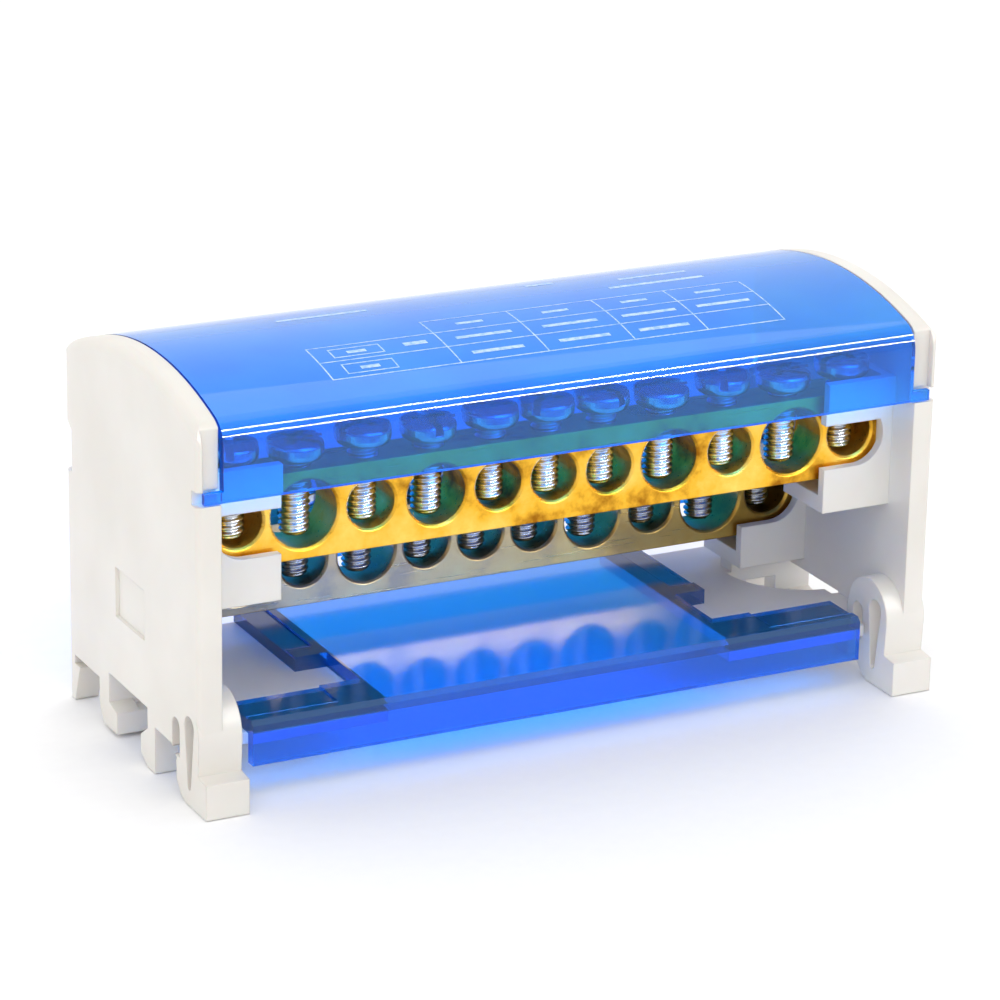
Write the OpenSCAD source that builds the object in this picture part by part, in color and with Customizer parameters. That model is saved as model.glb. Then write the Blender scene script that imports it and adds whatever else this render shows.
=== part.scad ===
// Two-bar power distribution block for a 35 mm rail.
// Two moulded end brackets hold a front and a rear terminal bar, one higher than
// the other. A clear hood snaps over the top and a clear tray lies on the brackets'
// base webs. X runs along the bars, -Y is the wiring side, Z = 0 is the feet.

/* [Overall] */
// Length over both end brackets
block_l = 104; // [100:1:112]
// Depth of an end bracket, front face to back face
bracket_d = 43; // [43:0.5:46]
// Thickness of an end plate
plate_t = 3.2; // [2.8:0.1:4]
// Height of the crown above the feet
crown_z = 53.1; // [52.6:0.1:56]
// Radius of the crown seen from the end
crown_r = 56; // [50:1:80]

/* [Terminal bars] */
// Thickness of a bar, front to back
bar_t = 6.6; // [6.2:0.1:7]
// Height of a bar
bar_h = 11.6; // [11.2:0.1:12.4]
// Setback of the front bar from the bracket's front face
bar_setback = 7; // [6.6:0.1:8]
// Height of the front bar's underside
bar_z = 28.5; // [28:0.1:29]
// Rear bar behind the front bar
bar_step_y = 20.4; // [19.5:0.1:21]
// Rear bar below the front bar
bar_step_z = 14.6; // [14:0.1:15]
// Gap between a bar's end and the end plate
bar_end_gap = 0.8; // [0.4:0.1:1.2]
// Bevel at the mouth of a wire hole
hole_bevel = 0.3; // [0.1:0.1:0.4]

/* [Wire holes] */
// Small wire hole
hole_s = 6.5; // [6:0.1:6.8]
// Medium wire hole
hole_m = 8.1; // [7.6:0.1:8.3]
// Large wire hole
hole_l = 9; // [8.4:0.1:9.2]
// Middle hole to first neighbour
pitch_1 = 7.9; // [7.6:0.1:8.2]
// First to second hole
pitch_2 = 8.7; // [8.5:0.1:9]
// Second to third hole
pitch_3 = 9; // [8.7:0.1:9.2]
// Third to fourth hole
pitch_4 = 9.1; // [8.9:0.1:9.3]
// Fourth to end hole
pitch_5 = 8.8; // [8.6:0.1:9]
// End hole to the end of the bar
bar_end = 4.5; // [4.3:0.1:5]

/* [Terminal screws] */
// Thread diameter
screw_d = 4; // [3.5:0.1:4.2]
// Length under the head
screw_l = 9.9; // [9.5:0.1:10.4]
// Head diameter
head_d = 7.2; // [6.6:0.1:7.3]
// Head height
head_h = 2.4; // [2:0.1:2.8]
// Width of the driver slot
slot_w = 1; // [0.8:0.1:1.2]
// Depth of the driver slot
slot_deep = 1.2; // [0.8:0.1:1.4]
// Tip above the bottom of a small hole
tip_gap_s = 0.6; // [0.6:0.1:0.9]
// Tip above the bottom of a medium hole
tip_gap_m = 0.85; // [0.7:0.05:1.1]
// Tip above the bottom of a large hole
tip_gap_l = 1.1; // [1:0.1:1.4]

/* [Bar pockets] */
// Reach of a pocket inwards from the end plate
pocket_l = 10.1; // [9.6:0.1:10.3]
// Wall of a pocket
pocket_t = 1.3; // [1.1:0.1:1.5]
// Room between the pocket's front wall and the bar
pocket_room = 0.6; // [0.6:0.1:0.8]
// Depth of the pocket below the bar
pocket_drop = 4.2; // [3.6:0.1:4.4]
// Rise of the pocket's front wall above the bar
pocket_rise = 2; // [1.4:0.1:2.4]
// Wire window below the hole centre
window_down = 4; // [3.6:0.1:4.4]
// Wire window above the hole centre
window_up = 2; // [1.6:0.1:2.6]

/* [Rail clip] */
// Width of the mounting rail
rail_w = 35; // [34.8:0.1:35.6]
// Height of the rail's top face above the feet
rail_z = 6.3; // [6:0.1:6.6]
// Height of the groove that takes the rail's edge
rail_groove = 1.2; // [1.1:0.1:1.5]
// Width of the spring foot along the bars
spring_w = 5.8; // [4.6:0.1:6.4]
// Thickness of the spring's inner limb
limb_t = 1.6; // [1.4:0.1:1.8]

/* [Base web] */
// Thickness of the base web under the tray
web_t = 1.6; // [1.4:0.1:1.8]
// Reach of the base web inwards from the end plate
web_l = 24.2; // [22:0.2:28]
// Radius of the opening beside the end plate
web_hole_r = 10.8; // [9.8:0.2:11]

/* [Tray] */
// Thickness of the tray
tray_t = 2; // [1.6:0.1:2.4]
// Overall width of the front strip
strip_l = 87.4; // [82:0.2:89]
// Overall width of the rear tongue
tongue_l = 60.2; // [56:0.2:66]
// Width between the side notches
notch_l = 51.2; // [46:0.2:54]
// Height of the front lip
lip_h = 5.9; // [4:0.1:6.2]
// Depth of the shallow steps on the tray's top
step_deep = 0.3; // [0.2:0.1:0.5]

/* [Hood] */
// Wall of the hood
hood_t = 1.3; // [1:0.1:1.6]
// Gap between the hood's ends and the end plates
hood_gap = 0.3; // [0.2:0.1:0.5]
// Height of the hood's front edge
hood_front_z = 39.9; // [39.5:0.1:40.2]
// Height of the hood's rear edge
hood_rear_z = 14; // [12:0.5:18]
// Inside bend at the hood's front corner, to its outer face
bend_front = 3.5; // [2.5:0.1:5]
// Inside bend at the hood's rear corner, to its outer face
bend_rear = 3; // [2.5:0.1:4]
// Length of a snap tab
tab_l = 2.2; // [1.8:0.1:2.3]
// Height of a snap tab
tab_h = 1.4; // [1.2:0.1:1.8]
// Thickness of a snap tab
tab_t = 0.8; // [0.7:0.1:0.9]
// Depth of the snap slot in the end plate's front edge
recess_d = 1.7; // [1.5:0.1:2]

/* [Soft edges] */
// Round along the outer edge of the crown
crown_round = 1.6; // [0.8:0.1:2]
// Round down the outer upright edges of an end plate
edge_round = 0.8; // [0.4:0.1:1]

/* [Hidden] */
$fn = 64;
cut = 1;                    // how far a cutter runs past a face
fit = 0.05;                 // radial play of a screw in its thread
gap = 0.2;                  // play between seated flat faces

xo = block_l / 2;           // outer face of the right-hand end plate
xi = xo - plate_t;          // its inner face
yf = -bracket_d / 2;        // front face
yb = bracket_d / 2;         // back face
crown_y = -1;               // the crown is highest a little in front of the middle
crown_c = [crown_y, crown_z - crown_r];

bar_x = xi - bar_end_gap;   // half length of a bar
bar_y = yf + bar_setback;   // front face of the front bar
hole_up = bar_h / 2;        // hole centres above a bar's underside

// Hole centres from the middle outwards, stretched alike so that the row fills the bar,
// and the size of each hole. On a shorter bar the holes and heads shrink with the row.
row_k = (bar_x - bar_end) / (pitch_1 + pitch_2 + pitch_3 + pitch_4 + pitch_5);
size_k = min(1, row_k);
head = head_d * size_k;
half = [0, pitch_1, pitch_1 + pitch_2, pitch_1 + pitch_2 + pitch_3,
  pitch_1 + pitch_2 + pitch_3 + pitch_4,
  pitch_1 + pitch_2 + pitch_3 + pitch_4 + pitch_5] * row_k;
half_d = [hole_s, hole_s, hole_m, hole_s, hole_l, hole_s];
half_tip = [tip_gap_s, tip_gap_s, tip_gap_m, tip_gap_s, tip_gap_l, tip_gap_s];
function hx(i) = sign(i - 5) * half[abs(i - 5)];
function hd(i) = half_d[abs(i - 5)] * size_k;
function tip_up(i) = hole_up - hd(i) / 2 + half_tip[abs(i - 5)];
end_x = half[5];

// Rail seat: the fixed jaw is at the back and the spring jaw at the front.
jaw_y = yb - 1.9;
spring_y = jaw_y - rail_w;  // point of the spring jaw's V
hook_d = 1.8;               // reach of the fixed jaw under the rail
web_z = rail_z + web_t;     // the tray lies here

// Snap slots in the front edges of the end plates and recesses in their back edges.
seat_f = hood_front_z - gap;
slot_h = tab_h + 0.45;
seat_b = 31.5;
recess_b_h = 5.7;
recess_b = 2;
mark = [-4.5, 5, 16.8, 23.4]; // shallow panel in the outer face, in y and in z
tab_way = tab_t + 0.15;     // depth of the ways that the snap tabs rise through

module along_x(x0, len) {
  translate([x0, 0, 0]) rotate([90, 0, 90]) linear_extrude(len) children();
}

module box(x0, x1, y0, y1, z0, z1) {
  translate([x0, y0, z0]) cube([x1 - x0, y1 - y0, z1 - z0]);
}

// Cutter that rounds the corner where the crown meets an upright edge at y = ye.
// s is -1 at the front and 1 at the back, in shrinks the whole form for the inside.
module corner_cut(ye, s, r, in) {
  k = crown_r - in - (r - in);
  cy = ye - s * r;
  cz = crown_c[1] + sqrt(k * k - (cy - crown_c[0]) * (cy - crown_c[0]));
  d = [cy - crown_c[0], cz - crown_c[1]] / k;
  difference() {
    polygon([[cy, cz], [ye + s * cut, cz], [ye + s * cut, cz + r + 4 * cut],
      [cy + d[0] * (r + 4 * cut), cz + d[1] * (r + 4 * cut)]]);
    translate([cy, cz]) circle(r - in);
  }
}

// Outline of the hood seen from the end, shrunk by in.
module hood_form(in) {
  difference() {
    intersection() {
      translate([yf + in, 0]) square([bracket_d - 2 * in, crown_z]);
      translate(crown_c) circle(crown_r - in, $fn = 240);
    }
    corner_cut(yf, -1, bend_front, in);
    corner_cut(yb, 1, bend_rear, in);
  }
}

// The spring foot: a closed loop that lets its inner limb, with the V for the
// rail's edge, move when the foot is pulled forward.
limb_y = spring_y - 0.2 - limb_t;   // front face of the inner limb
arch_y = spring_y - 1.3;
arch_z = rail_z + 3.1;
arch_r = 4.9;
foot_y = yf - 2.3;
module spring_form() {
  difference() {
    union() {
      translate([arch_y, arch_z]) circle(arch_r);
      polygon([[arch_y + arch_r, arch_z], [arch_y + arch_r, rail_z],
        [spring_y + 2.3, rail_z], [spring_y + 2.1, arch_z], [spring_y - 0.2, arch_z],
        [spring_y - 0.2, rail_z + 1.2], [spring_y + 1, rail_z + 0.5],
        [spring_y, rail_z - 0.6], [spring_y + 1, rail_z - 1.7], [spring_y + 0.8, 2],
        [spring_y - 0.6, 0.6], [spring_y - 1.9, 0], [foot_y, 0], [foot_y, 4.6],
        [yf + 0.2, 4.9], [arch_y - arch_r, arch_z]]);
    }
    // slit behind the inner limb
    translate([spring_y - 0.2, rail_z - cut]) square([2.4, arch_z - rail_z + cut - 0.4]);
    translate([spring_y + 1, arch_z - 0.4]) circle(1.2);
    // long slot between the two limbs
    slot_top = limb_y - 1.45;
    translate([slot_top, arch_z + 1]) circle(1.45);
    polygon([[slot_top - 1.45, arch_z + 1], [slot_top - 0.4, 2.6],
      [slot_top + 0.6, 2.6], [slot_top + 1.45, arch_z + 1]]);
    translate([slot_top + 0.1, 2.6]) circle(0.5);
  }
}

// Outline of an end plate: crown, snap recesses, fixed jaw, feet in the rail's channel.
stem_y = jaw_y - 8.6;       // back of the stem that stands in the rail's channel
stem_t = 3.3;
toe_y = -5.2;
module plate_form() {
  difference() {
    intersection() {
      polygon([[yf, arch_z], [yf, seat_f], [yf + recess_d, seat_f],
        [yf + recess_d, seat_f + slot_h], [yf, seat_f + slot_h], [yf, crown_z],
        [yb, crown_z], [yb, seat_b + recess_b_h + 1.4],
        [yb - recess_b, seat_b + recess_b_h], [yb - recess_b, seat_b], [yb, seat_b],
        [yb, 0], [jaw_y, 0], [jaw_y - hook_d, rail_z - rail_groove],
        [jaw_y, rail_z - rail_groove], [jaw_y, rail_z],
        [stem_y, rail_z], [stem_y, 2.8], [stem_y - 1.3, 0.5],
        [stem_y - 6, 0.5], [stem_y - 6, 3.4], [stem_y - stem_t, 4.1],
        [stem_y - stem_t, rail_z + 1.8], [toe_y, rail_z + 1.8], [toe_y, 5.3],
        [toe_y + 2.3, 3.7], [toe_y + 2.3, 1.3], [toe_y, 0], [toe_y - 2.4, 0],
        [toe_y - 2.4, rail_z], [arch_y + arch_r, rail_z], [arch_y + arch_r, arch_z]]);
      translate(crown_c) circle(crown_r, $fn = 240);
    }
    corner_cut(yf, -1, bend_front, 0);
    corner_cut(yb, 1, bend_rear, 0);
    translate([arch_y, arch_z]) circle(arch_r - 0.5);
  }
}

// Disc about the crown's centre whose rim rounds the crown's outer edge.
module crown_edge() {
  r = crown_round;
  translate([xi, crown_c[0], crown_c[1]]) rotate([0, 90, 0]) rotate_extrude($fn = 240) {
    translate([0, -cut]) square([crown_r, plate_t + cut - r]);
    square([crown_r - r, plate_t]);
    intersection() {
      translate([crown_r - r, plate_t - r]) circle(r);
      translate([crown_r - 2 * r, plate_t - 2 * r]) square(2 * r + cut);
    }
  }
}

// Plan of the end plate with its outer upright edges rounded.
module upright_edges() {
  r = edge_round;
  linear_extrude(crown_z + cut) {
    translate([xi - cut, yf]) square([plate_t + cut - r, bracket_d]);
    translate([xi - cut, yf + r]) square([plate_t + cut, bracket_d - 2 * r]);
    for (y = [yf + r, yb - r]) translate([xo - r, y]) circle(r);
  }
}

// Socket for one bar end, open inwards, with a window for the end wire hole.
module pocket(y, z) {
  x0 = xi - pocket_l;
  y0 = y - pocket_room - pocket_t;
  y1 = y + bar_t + gap + pocket_t;
  zc = z + hole_up;
  difference() {
    box(x0, xi + cut, y0, y - pocket_room, z - pocket_drop, z + bar_h + pocket_rise);
    intersection() {
      union() {
        translate([end_x, y0 - cut, zc]) rotate([-90, 0, 0])
          cylinder(r = window_down, h = pocket_t + 2 * cut);
        box(x0 - cut, end_x, y0 - cut, y, zc - window_down, zc + window_up);
      }
      box(x0 - 2 * cut, xo, y0 - 2 * cut, y + cut, zc - 2 * window_down, zc + window_up);
    }
  }
  // floor, back wall, seat under the bar's end and lips around it
  box(x0, xi + cut, y0, y1, z - pocket_drop, z - pocket_drop + 2.2);
  box(x0, xi + cut, y1 - pocket_t, y1, z - pocket_drop, z + bar_h - 3);
  box(bar_x - 3.4, xi + cut, y - pocket_room - cut / 2, y1 - cut, z - pocket_drop + cut, z);
  box(end_x + head / 2 + 0.3, xi + cut, y0, y1, z + bar_h, z + bar_h + pocket_rise);
  box(bar_x - 0.4, xi + cut, y - pocket_room - cut / 2, y - 0.01,
    z - pocket_drop + cut, z + bar_h + cut);
}

panel_x = xi - pocket_l + 0.8;
module bracket() {
  rear_y = bar_y + bar_step_y;
  rear_z = bar_z - bar_step_z;
  difference() {
    intersection() {
      along_x(xi, plate_t) plate_form();
      crown_edge();
      upright_edges();
    }
    // ways that the hood's snap tabs rise through
    box(xi - cut, xi + tab_l + gap, yf - cut, yf + tab_way, seat_f + cut / 2, crown_z + cut);
    box(xi - cut, xi + tab_l + gap, yb - tab_way, yb + cut, seat_b + cut / 2, crown_z + cut);
    // shallow panel in the outer face
    box(xo - 0.5, xo + cut, mark[0], mark[1], mark[2], mark[3]);
  }
  along_x(xo - spring_w, spring_w) spring_form();
  pocket(bar_y, bar_z);
  pocket(rear_y, rear_z);
  // base web under the tray, open beside the plate
  difference() {
    box(xi - web_l, xi + cut, spring_y - 1.7, jaw_y - 1.5, rail_z, web_z);
    intersection() {
      translate([xi + 0.7, stem_y - stem_t - 0.3, rail_z - cut])
        cylinder(r = web_hole_r, h = web_t + 2 * cut);
      box(xi - web_l, xi, toe_y, stem_y - stem_t, rail_z - 2 * cut, web_z + 2 * cut);
    }
    box(xi - cut, xo, toe_y, stem_y - stem_t, rail_z - 2 * cut, web_z + 2 * cut);
    box(xo - spring_w - 0.6, xo, spring_y - 4, arch_y + arch_r - 0.4,
      rail_z - cut, web_z + cut);
  }
  // stem wall that carries the rear pocket, pierced by a window, and its toe
  difference() {
    box(panel_x, xi + cut, stem_y - stem_t, stem_y - 0.4, 0.5, rear_z - pocket_drop + cut);
    box(panel_x + 1.8, xi - 2.2, stem_y - stem_t - cut, stem_y + cut, 3.2, rail_z + 0.3);
  }
  box(panel_x, xi + cut, stem_y - 6, stem_y - stem_t + cut, 0.5, 3.4);
}

module right_end_bracket() { color("ivory") bracket(); }
module left_end_bracket() { color("ivory") mirror([1, 0, 0]) bracket(); }

// One terminal bar: eleven wire holes through it and a tapped bore over each.
module bar(y, z) {
  difference() {
    box(-bar_x, bar_x, y, y + bar_t, z, z + bar_h);
    for (i = [0:10]) translate([hx(i), y, z + hole_up]) {
      translate([0, -cut, 0]) rotate([-90, 0, 0]) cylinder(d = hd(i), h = bar_t + 2 * cut);
      translate([0, -0.01, 0]) rotate([-90, 0, 0])
        cylinder(d1 = hd(i) + 2 * hole_bevel + 0.02, d2 = hd(i), h = hole_bevel + 0.01);
      translate([0, bar_t / 2, 0]) cylinder(d = screw_d + 2 * fit, h = bar_h);
    }
  }
}
module front_busbar() { color("goldenrod") bar(bar_y, bar_z); }
module rear_busbar() { color("goldenrod") bar(bar_y + bar_step_y, bar_z - bar_step_z); }

// Terminal screw i of a bar whose front underside edge is at y, z.
module screw(i, y, z) {
  k = head / 2;
  translate([hx(i), y + bar_t / 2, z + tip_up(i)]) {
    cylinder(d1 = screw_d - 1, d2 = screw_d, h = 0.5);
    translate([0, 0, 0.5]) cylinder(d = screw_d, h = screw_l - 0.5);
    translate([0, 0, screw_l]) difference() {
      rotate_extrude() polygon([[0, -0.01], [k - 0.9, -0.01], [k - 0.25, 0.4], [k, 1],
        [k, head_h - 0.6], [k - 0.2, head_h - 0.2], [k - 0.6, head_h], [0, head_h]]);
      box(-k, k, -slot_w / 2, slot_w / 2, head_h - slot_deep, head_h + cut);
      box(-slot_w / 2, slot_w / 2, -0.62 * k, 0.62 * k, head_h - slot_deep, head_h + cut);
    }
  }
}
module front_screw(i) { color("silver") screw(i, bar_y, bar_z); }
module rear_screw(i) { color("silver") screw(i, bar_y + bar_step_y, bar_z - bar_step_z); }

// Clear tray: front strip with a hanging lip, side notches and a rear tongue.
module base_tray() {
  strip_y = -11.3;
  front_y = spring_y - 3.7;
  back_y = jaw_y - 1.3;
  z1 = web_z + tray_t;
  color("dodgerblue") difference() {
    union() {
      box(-strip_l / 2, strip_l / 2, front_y + 0.6, strip_y, web_z, z1);
      box(-strip_l / 2, strip_l / 2, front_y, front_y + 1.5, z1 - lip_h, z1 - 0.6);
      along_x(-strip_l / 2, strip_l)
        polygon([[front_y, z1 - 0.6], [front_y + 0.6, z1], [front_y + 1.5, z1],
          [front_y + 1.5, web_z], [front_y, web_z]]);
      box(-notch_l / 2, notch_l / 2, strip_y - cut, -1.4 + cut, web_z, z1);
      box(-tongue_l / 2, tongue_l / 2, -1.4, back_y, web_z, z1);
    }
    for (s = [-1, 1]) {
      // shallow steps on the top where the tray lies over the brackets
      translate([s * (strip_l / 2 - 6.2), (strip_y - 17) / 2, z1])
        cube([12.6, 17 + strip_y + 0.02, 2 * step_deep], center = true);
      translate([s * (tongue_l / 2 - 1.8), (1.6 + back_y + cut) / 2, z1])
        cube([3.8, back_y + cut - 1.6, 2 * step_deep], center = true);
    }
  }
}

// Clear hood: one bent sheet with a snap tab at each corner.
module cover() {
  hx0 = xi - hood_gap;
  color("deepskyblue") {
    difference() {
      along_x(-hx0, 2 * hx0) difference() {
        hood_form(0);
        hood_form(hood_t);
        translate([yf - cut, -cut]) square([bracket_d / 2 + cut, hood_front_z + cut]);
        translate([0, -cut]) square([bracket_d, hood_rear_z + cut]);
      }
    }
    for (s = [-1, 1]) mirror([s < 0 ? 1 : 0, 0, 0]) {
      box(hx0 - cut, xi + tab_l, yf, yf + tab_t, hood_front_z, hood_front_z + tab_h);
      box(hx0 - cut, xi + tab_l, yb - tab_t, yb, seat_b + gap, seat_b + gap + tab_h);
    }
  }
}

left_end_bracket();
right_end_bracket();
front_busbar();
rear_busbar();
base_tray();
cover();
front_screw(0);  // front_screw_01
front_screw(1);  // front_screw_02
front_screw(2);  // front_screw_03
front_screw(3);  // front_screw_04
front_screw(4);  // front_screw_05
front_screw(5);  // front_screw_06
front_screw(6);  // front_screw_07
front_screw(7);  // front_screw_08
front_screw(8);  // front_screw_09
front_screw(9);  // front_screw_10
front_screw(10);  // front_screw_11
rear_screw(0);  // rear_screw_01
rear_screw(1);  // rear_screw_02
rear_screw(2);  // rear_screw_03
rear_screw(3);  // rear_screw_04
rear_screw(4);  // rear_screw_05
rear_screw(5);  // rear_screw_06
rear_screw(6);  // rear_screw_07
rear_screw(7);  // rear_screw_08
rear_screw(8);  // rear_screw_09
rear_screw(9);  // rear_screw_10
rear_screw(10);  // rear_screw_11
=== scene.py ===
import math
import bmesh
import bpy
from mathutils import Matrix, Vector


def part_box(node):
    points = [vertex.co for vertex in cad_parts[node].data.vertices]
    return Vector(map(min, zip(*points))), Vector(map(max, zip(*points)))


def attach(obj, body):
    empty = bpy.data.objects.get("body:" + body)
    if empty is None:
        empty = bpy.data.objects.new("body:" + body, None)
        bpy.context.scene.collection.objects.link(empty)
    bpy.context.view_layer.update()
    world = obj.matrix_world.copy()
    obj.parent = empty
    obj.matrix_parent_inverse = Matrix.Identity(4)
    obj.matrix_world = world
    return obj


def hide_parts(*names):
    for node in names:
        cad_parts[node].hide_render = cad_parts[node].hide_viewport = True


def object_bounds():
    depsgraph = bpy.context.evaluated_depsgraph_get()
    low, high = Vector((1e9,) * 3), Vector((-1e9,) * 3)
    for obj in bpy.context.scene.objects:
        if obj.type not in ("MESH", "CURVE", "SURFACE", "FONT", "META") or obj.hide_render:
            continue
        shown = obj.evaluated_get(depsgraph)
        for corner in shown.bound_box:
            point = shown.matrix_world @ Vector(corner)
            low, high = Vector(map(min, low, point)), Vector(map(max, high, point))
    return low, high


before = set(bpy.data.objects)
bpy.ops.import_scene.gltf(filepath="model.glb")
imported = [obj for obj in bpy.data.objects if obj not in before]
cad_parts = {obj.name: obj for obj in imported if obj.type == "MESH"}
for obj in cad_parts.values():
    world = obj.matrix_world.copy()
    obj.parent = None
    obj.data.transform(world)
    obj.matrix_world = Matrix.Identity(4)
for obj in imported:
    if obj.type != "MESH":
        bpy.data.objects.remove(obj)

cad_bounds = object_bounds()

# ---------------------------------------------------------------- Camera
# A 150 mm lens half a metre off, left of the wiring side and a little above.
az, el, roll = math.radians(-27.24), math.radians(19.389), math.radians(1.092)
eye = (-0.23417, -0.45427, 0.20635)
forward = Vector((-math.sin(az) * math.cos(el), math.cos(az) * math.cos(el), -math.sin(el)))
right = Vector((math.cos(az), math.sin(az), 0))
up = right.cross(forward)
cam_x = right * math.cos(roll) + up * math.sin(roll)
cam_y = up * math.cos(roll) - right * math.sin(roll)
camera = bpy.data.objects.new("camera", bpy.data.cameras.new("camera"))
camera.data.lens, camera.data.sensor_width = 150.06, 36
camera.data.clip_start, camera.data.clip_end = 0.05, 20
camera.matrix_world = Matrix.Translation(eye) @ Matrix((cam_x, cam_y, -forward)).transposed().to_4x4()
bpy.context.collection.objects.link(camera)
bpy.context.scene.camera = camera
bpy.context.scene.view_settings.view_transform = "Standard"

# ---------------------------------------------------------------- End brackets
# Two ivory mouldings in polyamide that carry the bars and clip to the rail. Fine spark
# texture from the tool, slightly uneven tone where the melt flowed, and soft edges from
# the tool's radii.


def srgb(text):
    """Linear colour of a hex colour."""
    v = [int(text[i:i + 2], 16) / 255 for i in (1, 3, 5)]
    return [c / 12.92 if c < 0.04045 else ((c + 0.055) / 1.055) ** 2.4 for c in v] + [1]


def cells(size):
    """Texture scale at which one cell is this many millimetres wide."""
    return 1000 / size


def add(mat, kind, links=(), stops=(), **values):
    """Adds a shader node with its sockets by name, its links (socket, from node, output)
    and, on a ramp, its stops (place, hex colour)."""
    n = mat.node_tree.nodes.new("ShaderNode" + kind)
    for key, v in values.items():
        name = key.replace("_", " ")
        if name in n.inputs:
            n.inputs[name].default_value = v
        else:
            setattr(n, key, v)
    for name, src, out in links:
        mat.node_tree.links.new(src.outputs[out], n.inputs[name])
    for i, (place, colour) in enumerate(stops):
        stop = n.color_ramp.elements[i] if i < 2 else n.color_ramp.elements.new(place)
        stop.position, stop.color = place, srgb(colour)
    return n


def finish(name):
    """An empty node material with its output and object coordinates."""
    mat = bpy.data.materials.new(name)
    mat.use_nodes = True
    mat.node_tree.nodes.clear()
    return mat, add(mat, "OutputMaterial"), add(mat, "TexCoord")


def dress(node, mat):
    """Gives a carried-over solid one material."""
    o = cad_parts[node]
    o.data.materials.clear()
    o.data.materials.append(mat)


poly, out, tex = finish("moulded_polyamide_ivory")
flow = add(poly, "TexNoise", [("Vector", tex, "Object")], Scale=cells(18.18), Detail=3.0, Roughness=0.5)
tone = add(poly, "ValToRGB", [("Fac", flow, "Fac")], [(0.35, "#E1DDD5"), (0.7, "#EAE7E1")])
spark = add(poly, "TexNoise", [("Vector", tex, "Object")], Scale=cells(0.303), Detail=2.0)
soft = add(poly, "Bevel", samples=4, Radius=0.00028)
grain = add(poly, "Bump", [("Height", spark, "Fac"), ("Normal", soft, "Normal")],
            Strength=0.12, Distance=0.00002)
shine = add(poly, "MapRange", [("Value", flow, "Fac")], To_Min=0.36, To_Max=0.5)
skin = add(poly, "BsdfPrincipled", [("Base Color", tone, "Color"), ("Normal", grain, "Normal"),
                                    ("Roughness", shine, "Result")],
           Subsurface_Weight=0.12, Subsurface_Scale=0.002, IOR=1.53)
poly.node_tree.links.new(skin.outputs[0], out.inputs[0])
for side in ("left_end_bracket", "right_end_bracket"):
    dress(side, poly)

# ---------------------------------------------------------------- Terminal bars
# Drawn brass, milled faces with faint lengthwise drawing lines, tarnished a little
# brown in patches. The drilled holes have bright bevels.
brass, out, tex = finish("drawn_brass")
drawn = add(brass, "Mapping", [("Vector", tex, "Object")],
            Scale=(cells(16.67), cells(0.3846), cells(0.3846)))
lines = add(brass, "TexNoise", [("Vector", drawn, "Vector")], Scale=1.0, Detail=4.0)
patch = add(brass, "TexNoise", [("Vector", tex, "Object")], Scale=cells(7.692), Detail=5.0, Roughness=0.6)
tarnish = add(brass, "ValToRGB", [("Fac", patch, "Fac")],
              [(0.34, "#9C6416"), (0.47, "#EEB436"), (0.75, "#FFDA72")])
dull = add(brass, "MapRange", [("Value", lines, "Fac")], To_Min=0.2, To_Max=0.42)
soft = add(brass, "Bevel", samples=4, Radius=0.0002)
streak = add(brass, "Bump", [("Height", lines, "Fac"), ("Normal", soft, "Normal")],
             Strength=0.15, Distance=0.00002)
skin = add(brass, "BsdfPrincipled", [("Base Color", tarnish, "Color"), ("Normal", streak, "Normal"),
                                     ("Roughness", dull, "Result")], Metallic=1.0)
brass.node_tree.links.new(skin.outputs[0], out.inputs[0])
dress("front_busbar", brass)

# The rear bar stands in the shade of the front one: painted shade over its brass, grey-blue to the left,
# olive to the right.
shaded_brass = brass.copy()
shaded_brass.name = "drawn_brass_painted_shade"
tarnish, tex, skin = (shaded_brass.node_tree.nodes[n.name] for n in (tarnish, tex, skin))
# painted shade: three parts in four of the brass colour come from a grey-blue to olive ramp across the
# bar
across = add(shaded_brass, "SeparateXYZ", [("Vector", tex, "Object")])
share = add(shaded_brass, "MapRange", [("Value", across, "X")], From_Min=-0.04, From_Max=0.04)
painted_shade_tint = add(shaded_brass, "ValToRGB", [("Fac", share, "Result")], [(0, "#8F9A9C"), (1, "#A58C4C")])
blend = add(shaded_brass, "MixRGB", [("Color1", tarnish, "Color"), ("Color2", painted_shade_tint, "Color")], Fac=0.75)
shaded_brass.node_tree.links.new(blend.outputs[0], skin.inputs["Base Color"])
dress("rear_busbar", shaded_brass)

# ---------------------------------------------------------------- Terminal screws
# M4 steel screws, bright zinc plate over a rolled thread, with a cheese head whose
# recess takes a flat or a cross driver. Each stands turned as its wire left it.
zinc, out, tex = finish("bright_zinc_plate")
mist = add(zinc, "TexNoise", [("Vector", tex, "Object")], Scale=cells(1.111), Detail=4.0)
cast = add(zinc, "ValToRGB", [("Fac", mist, "Fac")], [(0.3, "#AEB4BC"), (0.7, "#DDE1E6")])
dull = add(zinc, "MapRange", [("Value", mist, "Fac")], To_Min=0.14, To_Max=0.3)
skin = add(zinc, "BsdfPrincipled", [("Base Color", cast, "Color"), ("Roughness", dull, "Result")],
           Metallic=1.0)
zinc.node_tree.links.new(skin.outputs[0], out.inputs[0])


def build(name, bm):
    """Makes a linked object of the same name from a bmesh."""
    mesh = bpy.data.meshes.new(name)
    bm.to_mesh(mesh)
    bm.free()
    o = bpy.data.objects.new(name, mesh)
    bpy.context.collection.objects.link(o)
    return o


# the thread climbs 0.8 mm a turn, a little coarser than M4's 0.7 mm, so that it shows
pitch, rings_a_turn, around = 0.0008, 8, 36
thread_r, root_r, tip_r = 0.00199, 0.00165, 0.0014
shank, neck = 0.0099, 0.0001
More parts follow.
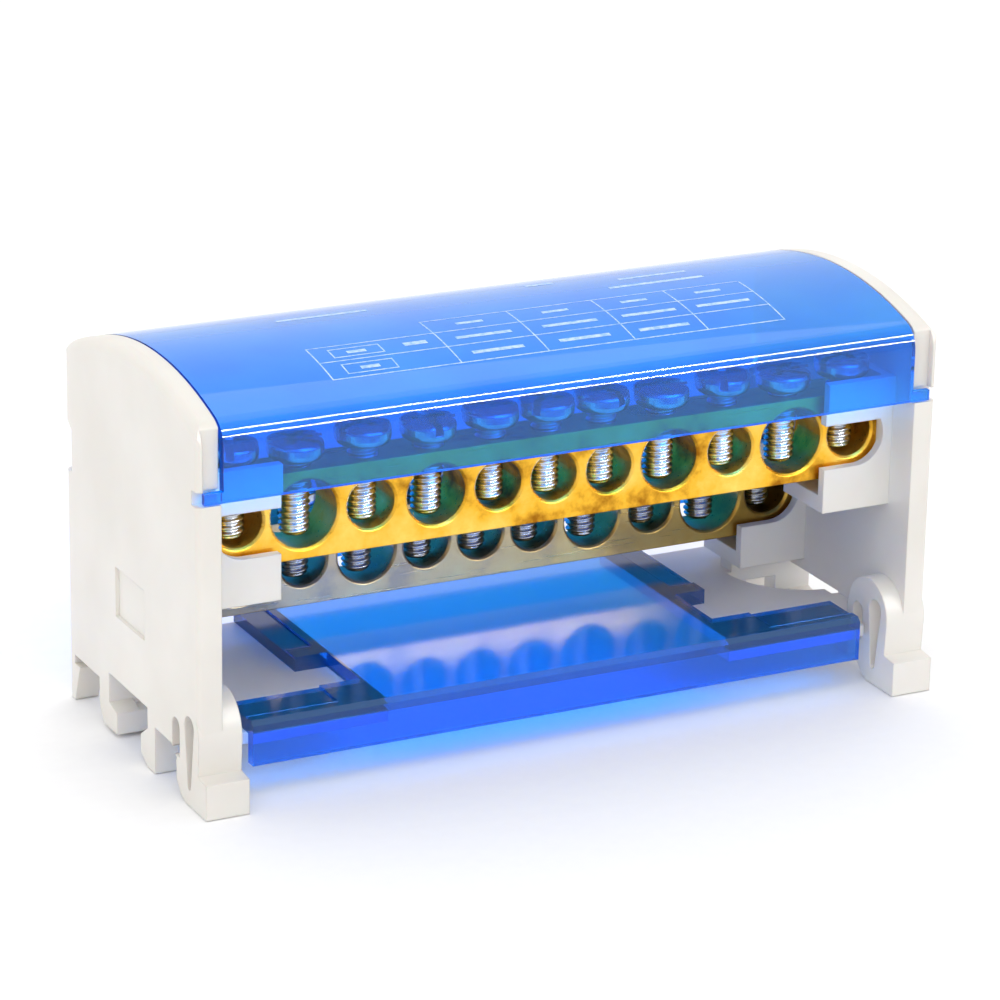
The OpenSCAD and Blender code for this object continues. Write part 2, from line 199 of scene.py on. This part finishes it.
# radius and height up the head, from the shank's end over the rounded rim to the flat top
head = [(0.00185, 0.0099), (0.0027, 0.0099), (0.00305, 0.00999), (0.00335, 0.0102),
        (0.00354, 0.01052), (0.0036, 0.0109), (0.0036, 0.01165), (0.00353, 0.01195),
        (0.00334, 0.01216), (0.00305, 0.01227), (0.0027, 0.0123), (0.0012, 0.0123)]
head_top, recess_deep = 0.0123, 0.0012
turned = [2 * math.pi * k / around for k in range(around)]
bm = bmesh.new()
rings = []
z = 0.0
while z < shank - neck:
    ring = []
    for k, a in enumerate(turned):
        u = (z / pitch - k / around) % 1
        crest = min(1, max(0, 2.6 * (0.5 - abs(u - 0.5)) - 0.1))
        r = min(root_r + (thread_r - root_r) * crest, tip_r + z)
        ring.append(bm.verts.new((r * math.cos(a), r * math.sin(a), z)))
    rings.append(ring)
    z += pitch / rings_a_turn
for r, z in head:
    rings.append([bm.verts.new((r * math.cos(a), r * math.sin(a), z)) for a in turned])
for low, high in zip(rings, rings[1:]):
    for k in range(around):
        after = (k + 1) % around
        bm.faces.new((low[k], low[after], high[after], high[k]))
bm.faces.new(list(reversed(rings[0])))
bm.faces.new(rings[-1])
blank = build("screw_blank", bm)

# the flat slot runs right across the head, and a shorter arm makes the cross
cutters = []
for slot_x, slot_y in ((0.0084, 0.001), (0.0011, 0.0046)):
    bm = bmesh.new()
    bmesh.ops.create_cube(bm, size=1, matrix=Matrix.Translation((0, 0, head_top)) @ Matrix.Diagonal(
        (slot_x, slot_y, 2 * recess_deep, 1)))
    cutters.append(build("driver_slot", bm))
    cut = blank.modifiers.new("recess", "BOOLEAN")
    cut.object, cut.operation, cut.solver = cutters[-1], "DIFFERENCE", "EXACT"
bpy.context.view_layer.update()
screw_mesh = bpy.data.meshes.new_from_object(
    blank.evaluated_get(bpy.context.evaluated_depsgraph_get()))
screw_mesh.name = "terminal_screw"
for o in (blank, *cutters):
    bpy.data.objects.remove(o)
screw_mesh.materials.clear()
screw_mesh.materials.append(zinc)
# all but the flat top and the recess is smooth
for p in screw_mesh.polygons:
    p.use_smooth = p.normal.z < 0.9 and p.area < 4e-7
for row, first_turn in (("front", 0), ("rear", 31)):
    for i in range(1, 12):
        node = "%s_screw_%02d" % (row, i)
        lo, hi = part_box(node)
        screw = bpy.data.objects.new(node + "_threaded", screw_mesh)
        bpy.context.collection.objects.link(screw)
        screw.location = ((lo[0] + hi[0]) / 2, (lo[1] + hi[1]) / 2, lo[2])
        screw.rotation_euler = (0, 0, math.radians((i * 67 + first_turn) % 180))
        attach(screw, node + "_body")
        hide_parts(node)

# ---------------------------------------------------------------- Tray
# Clear polycarbonate dyed deep blue, laid on the brackets' webs. Its sideways faces are
# painted a darker blue, painted shade for the dye gathered in the cut and moulded edges, and its flat
# faces a lighter blue, painted light where light comes through.
deep, out, tex = finish("dyed_polycarbonate_deep_blue")
# painted shade and painted light: faces that point sideways take the darker blue, faces that point up or
# down the lighter one
face = add(deep, "NewGeometry")
split = add(deep, "SeparateXYZ", [("Vector", face, "Normal")])
flat = add(deep, "Math", [("Value", split, "Z")], operation="ABSOLUTE")
tint = add(deep, "ValToRGB", [("Fac", flat, "Value")], [(0.3, "#2286F6"), (0.9, "#3AAEFF")])
haze = add(deep, "TexNoise", [("Vector", tex, "Object")], Scale=cells(4.167), Detail=3.0)
wave = add(deep, "Bump", [("Height", haze, "Fac")], Strength=0.05, Distance=0.0001)
pane = add(deep, "BsdfPrincipled", [("Base Color", tint, "Color"), ("Normal", wave, "Normal")],
           Transmission_Weight=0.82, Roughness=0.12, IOR=1.49)


def let_lamps_through(mat, pane, out, colour):
    """Joins a dyed pane to the output, and lets the lamps shine through it in its colour."""
    dyed = add(mat, "BsdfTransparent", Color=srgb(colour))
    path = add(mat, "LightPath")
    mix = add(mat, "MixShader", [("Fac", path, "Is Shadow Ray")])
    mat.node_tree.links.new(pane.outputs[0], mix.inputs[1])
    mat.node_tree.links.new(dyed.outputs[0], mix.inputs[2])
    mat.node_tree.links.new(mix.outputs[0], out.inputs[0])


let_lamps_through(deep, pane, out, "#7CC0FF")
dress("base_tray", deep)

# ---------------------------------------------------------------- Hood
# One bent sheet of clear polycarbonate dyed azure, with polished faces, snapped between
# the end plates. Cut ends and lower edges are painted navy: painted shade, as the light in them has come
# a long way.
azure, out, tex = finish("dyed_polycarbonate_azure")
haze = add(azure, "TexNoise", [("Vector", tex, "Object")], Scale=cells(14.29), Detail=2.0)
wave = add(azure, "Bump", [("Height", haze, "Fac")], Strength=0.03, Distance=0.0002)
tint = add(azure, "ValToRGB", [("Fac", haze, "Fac")], [(0.3, "#1E9CFC"), (0.7, "#2CACFF")])
face = add(azure, "NewGeometry")
split = add(azure, "SeparateXYZ", [("Vector", face, "Normal")])
# painted light: the crown, facing up, is made less clear than the walls so that it looks lighter
clear = add(azure, "MapRange", [("Value", split, "Z")], From_Min=0.35, From_Max=0.85,
            To_Min=0.9, To_Max=0.5)
# painted shade: faces that point along the bars or downwards are mixed towards navy
ends = add(azure, "Math", [("Value", split, "X")], operation="ABSOLUTE")
lower = add(azure, "Math", [("Value", split, "Z")], operation="MULTIPLY")
lower.inputs[1].default_value = -1
rim = add(azure, "Math", operation="MAXIMUM")
azure.node_tree.links.new(ends.outputs[0], rim.inputs[0])
azure.node_tree.links.new(lower.outputs[0], rim.inputs[1])
painted_navy_share = add(azure, "MapRange", [("Value", rim, "Value")], From_Min=0.6, From_Max=0.9, To_Max=0.85)
dye_and_painted_navy = add(azure, "MixRGB", [("Fac", painted_navy_share, "Result"), ("Color1", tint, "Color")], Color2=srgb("#0A2C9A"))
pane = add(azure, "BsdfPrincipled", [("Base Color", dye_and_painted_navy, "Color"), ("Normal", wave, "Normal"),
                                     ("Transmission Weight", clear, "Result")],
           Roughness=0.03, IOR=1.49)
let_lamps_through(azure, pane, out, "#8CCBFF")
dress("cover", azure)

# The rating table is screen printed in thin pale ink: ruled lines with plain bars for
# its entries. It lies on the crown, which is an arc of 56 mm across the bars.
ink, out, tex = finish("screen_ink_pale")
wear = add(ink, "TexNoise", [("Vector", tex, "Object")], Scale=cells(0.6667), Detail=3.0)
tone = add(ink, "ValToRGB", [("Fac", wear, "Fac")], [(0.3, "#7FB4F2"), (0.6, "#C4DEFA")])
skin = add(ink, "BsdfPrincipled", [("Base Color", tone, "Color")], Roughness=0.5)
ink.node_tree.links.new(skin.outputs[0], out.inputs[0])
crown_r, crown_y, ink_lift = 0.056, -0.001, 0.00002
crown_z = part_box("cover")[1][2] - crown_r
bm = bmesh.new()


def patch_on_crown(x0, x1, y0, y1):
    """A strip of ink from x0 to x1 and y0 to y1, in millimetres, bent to the crown."""
    steps = max(1, round(abs(y1 - y0) / 1.5))
    row = []
    for i in range(steps + 1):
        y = (y0 + (y1 - y0) * i / steps) / 1000
        z = crown_z + math.sqrt((crown_r + ink_lift) ** 2 - (y - crown_y) ** 2)
        row.append((bm.verts.new((x0 / 1000, y, z)), bm.verts.new((x1 / 1000, y, z))))
    for a, b in zip(row, row[1:]):
        bm.faces.new((a[0], a[1], b[1], b[0]))


# the table's rules
rule = 0.2
cols, rows = (-31.3, -13.8, -1.6, 10.6, 21.2, 32.4), (-15.2, -11.1, -7.0, -3.0)
for j, y in enumerate(rows):
    patch_on_crown(cols[1] if j == 3 else cols[0], cols[5], y, y + rule)
for j, x in enumerate(cols):
    patch_on_crown(x, x + rule, rows[0], rows[2] if j == 0 else rows[3])
# a plain bar for each entry, shorter in the top row, with the last field left empty
half_bars = (3.6, 3.9, 1.9)
for i in range(1, 5):
    for j, half in enumerate(half_bars):
        mid = (cols[i] + cols[i + 1]) / 2
        if (i, j) != (4, 0):
            patch_on_crown(mid - half, mid + half, rows[j] + 1.7, rows[j] + 2.4)
# a framed bar at the head of the two lower rows
for y in (-13.2, -9.1):
    for x0, x1, y0, y1 in ((-28.6, -22, 1.1, 1.3), (-28.6, -22, -1.1, -0.9), (-28.8, -28.6, -1.1, 1.3),
                           (-22, -21.8, -1.1, 1.3), (-26.6, -24, -0.3, 0.4)):
        patch_on_crown(x0, x1, y + y0, y + y1)
# plain bars for the lines beside and above the table
for x0, x1, y0, y1 in ((-18.8, -15.6, -9.4, -8.5), (-29.6, -17, 5.2, 6.2), (15.5, 29.5, 0.6, 1.5),
                       (19, 29, 4.4, 5.3), (7, 11, 7.6, 8.8)):
    patch_on_crown(x0, x1, y0, y1)
hood_print = build("hood_print", bm)
hood_print.data.materials.append(ink)
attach(hood_print, "hood")

# ---------------------------------------------------------------- Floor and light
# A pale paper sweep and soft boxes. Two narrow strips draw the lines along the front bend.
paper, out, tex = finish("pale_paper")
fibre = add(paper, "TexNoise", [("Vector", tex, "Object")], Scale=cells(2.5), Detail=3.0)
tone = add(paper, "ValToRGB", [("Fac", fibre, "Fac")], [(0, "#F6F6F8"), (1, "#FCFCFD")])
skin = add(paper, "BsdfPrincipled", [("Base Color", tone, "Color")], Roughness=0.8)
paper.node_tree.links.new(skin.outputs[0], out.inputs[0])
bm = bmesh.new()
bmesh.ops.create_grid(bm, x_segments=2, y_segments=2, size=3)
floor = build("floor", bm)
floor.data.materials.append(paper)
floor.location = (0, 0, cad_bounds[0][2] - 0.0001)

world = bpy.data.worlds.new("studio")
world.use_nodes = True
world.node_tree.nodes["Background"].inputs["Color"].default_value = (1.0, 1.0, 1.0, 1)
world.node_tree.nodes["Background"].inputs["Strength"].default_value = 1.0
bpy.context.scene.world = world
box_aim, strip_aim = Vector((0, 0, 0.03)), 0.05
for name, where, size, power in (
        ("key_box", (-0.35, -0.45, 0.75), (0.5, 0.5), 1.0),
        ("top_box", (0.2, 0.3, 0.8), (0.6, 0.6), 0.9),
        ("strip_low", (0.3, -0.5, 0.3), (0.7, 0.05), 4.0),
        ("strip_high", (0.3, -0.4, 0.56), (0.7, 0.06), 4.6)):
    light = bpy.data.lights.new(name, "AREA")
    light.shape, light.size, light.size_y = "RECTANGLE", size[0], size[1]
    light.energy = power
    o = bpy.data.objects.new(name, light)
    o.location = where
    o.rotation_euler = (box_aim - o.location).to_track_quat("-Z", "Y").to_euler()
    if name.startswith("strip"):
        # along the bars, and seen only as a gleam
        o.rotation_euler = (math.atan2(-where[1], where[2] - strip_aim), 0, 0)
        o.visible_diffuse = o.visible_transmission = False
    bpy.context.collection.objects.link(o)
